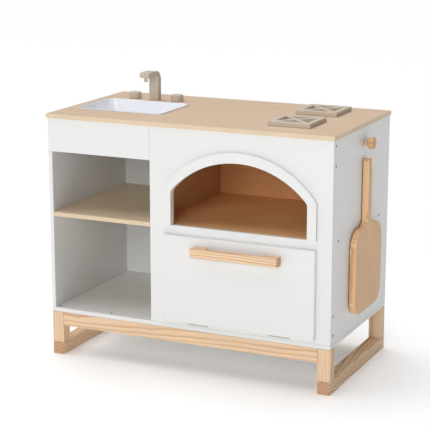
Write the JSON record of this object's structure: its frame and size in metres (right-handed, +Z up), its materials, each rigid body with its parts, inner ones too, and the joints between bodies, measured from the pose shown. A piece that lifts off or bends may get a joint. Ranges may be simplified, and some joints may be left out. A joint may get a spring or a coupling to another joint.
{
  "type": "toy kitchen",
  "caption": "Child's wooden play kitchen: sink with swivel tap and turning knobs, hob grates, arched oven, drop-down flap, open bays and a hanging peel.",
  "frame": {"origin": "on the floor, under the middle of the kitchen's bounding box, the hanging cord left out", "axes": "+X to the right along the length, +Y to the back, +Z up; the front faces -Y"},
  "size_m": [0.8829, 0.4906, 0.7883],
  "materials": {
    "white_paint": "12 mm MDF with satin off-white paint and eased edges",
    "pine": "solid pine, clear matt lacquer",
    "beech_laminate": "12 mm plywood with a beech face, clear satin lacquer, bare ply edge",
    "birch_ply": "12 mm birch plywood, clear lacquer",
    "oven_wood": "beech veneer, warm brown",
    "greige_paint": "solid wood with matt greige paint",
    "sink_plastic": "glossy white moulded plastic",
    "peel_wood": "solid beech, oiled",
    "dark_steel": "blackened steel",
    "hinge_steel": "zinc-plated steel",
    "cotton_cord": "twisted cotton string"
  },
  "bodies": {
    "root": {"left_runner": "pine", "right_runner": "pine", "front_left_leg": "pine", "front_right_leg": "pine", "back_left_leg": "pine", "back_right_leg": "pine", "front_rail": "pine", "back_rail": "pine", "bottom_panel": "white_paint", "left_side_panel": "white_paint", "right_side_panel": "white_paint", "divider_panel": "white_paint", "back_panel": "white_paint", "apron_panel": "white_paint", "front_panel": "white_paint", "worktop": "beech_laminate", "shelf": "birch_ply", "oven_floor": "oven_wood", "oven_left_lining": "oven_wood", "oven_right_lining": "oven_wood", "oven_back_lining": "oven_wood", "upper_left_batten": "pine", "upper_right_batten": "pine", "lower_left_batten": "pine", "lower_right_batten": "pine", "top_upper_screw": "dark_steel", "top_lower_screw": "dark_steel", "floor_front_screw": "dark_steel", "floor_back_screw": "dark_steel", "bottom_upper_screw": "dark_steel", "bottom_lower_screw": "dark_steel", "arch_moulding": "white_paint", "magnet_catch": "dark_steel", "left_hinge_cabinet_leaf": "hinge_steel", "right_hinge_cabinet_leaf": "hinge_steel", "left_hinge_pin": "hinge_steel", "right_hinge_pin": "hinge_steel", "back_hob_grate": "greige_paint", "front_hob_grate": "greige_paint", "peg": "pine"},
    "flap": {"flap_door": "white_paint", "door_handle": "pine", "left_handle_screw": "dark_steel", "right_handle_screw": "dark_steel", "strike_plate": "hinge_steel", "left_hinge_door_leaf": "hinge_steel", "right_hinge_door_leaf": "hinge_steel"},
    "sink": {"sink_basin": "sink_plastic"},
    "tap": {"tap_spout": "greige_paint", "tap_nozzle": "greige_paint", "tap_pivot_dowel": "pine"},
    "left_knob": {"left_tap_knob": "greige_paint", "left_knob_spindle": "dark_steel"},
    "right_knob": {"right_tap_knob": "greige_paint", "right_knob_spindle": "dark_steel"},
    "hanging_peel": {"peel": "peel_wood", "hanging_cord": "cotton_cord", "cord_knot": "cotton_cord"}
  },
  "joints": [
    {"name": "flap_hinge", "type": "hinge", "parent": "root", "child": "flap", "pos_m": [0.14575, -0.2072, 0.1461], "axis": [1, 0, 0], "range_deg": [0, 90]},
    {"name": "sink_lift", "type": "slide", "parent": "root", "child": "sink", "axis": [0, 0, 1], "range_m": [0, 0.066]},
    {"name": "tap_swivel", "type": "hinge", "parent": "root", "child": "tap", "pos_m": [-0.2755, 0.1353, 0.7], "axis": [0, 0, 1], "range_deg": [-90, 90]},
    {"name": "left_knob_turn", "type": "hinge", "parent": "root", "child": "left_knob", "pos_m": [-0.3445, 0.1413, 0.7], "axis": [0, 0, 1], "continuous": true},
    {"name": "right_knob_turn", "type": "hinge", "parent": "root", "child": "right_knob", "pos_m": [-0.2065, 0.1413, 0.7], "axis": [0, 0, 1], "continuous": true},
    {"name": "peel_swing", "type": "hinge", "parent": "root", "child": "hanging_peel", "pos_m": [0.4115, 0.0303, 0.645], "axis": [1, 0, 0], "range_deg": [-40, 40]}
  ]
}
